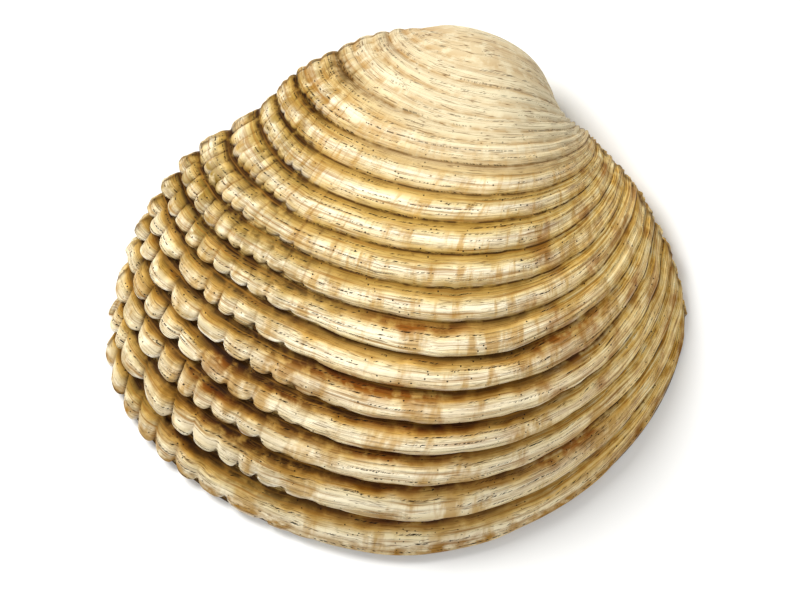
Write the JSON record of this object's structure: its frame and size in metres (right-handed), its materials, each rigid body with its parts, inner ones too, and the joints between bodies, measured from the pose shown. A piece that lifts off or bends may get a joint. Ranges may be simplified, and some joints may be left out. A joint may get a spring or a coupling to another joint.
{
  "type": "venus clam shell valve",
  "caption": "Right half of a warty venus clam shell: a thick ribbed dome with beaded back, curled beak, hollow inside and toothed hinge plate, resting on its rim.",
  "frame": {"origin": "centre of the bounding box in X and Y, on the flat plane of the rim", "axes": "+X to the front end of the shell, its longest extent; +Y to the beak; +Z out of the dome, its shortest extent"},
  "size_m": [0.0499, 0.0458, 0.0187],
  "materials": {
    "shell": "matte"
  },
  "bodies": {
    "root": {"right_valve": "shell"}
  },
  "joints": []
}
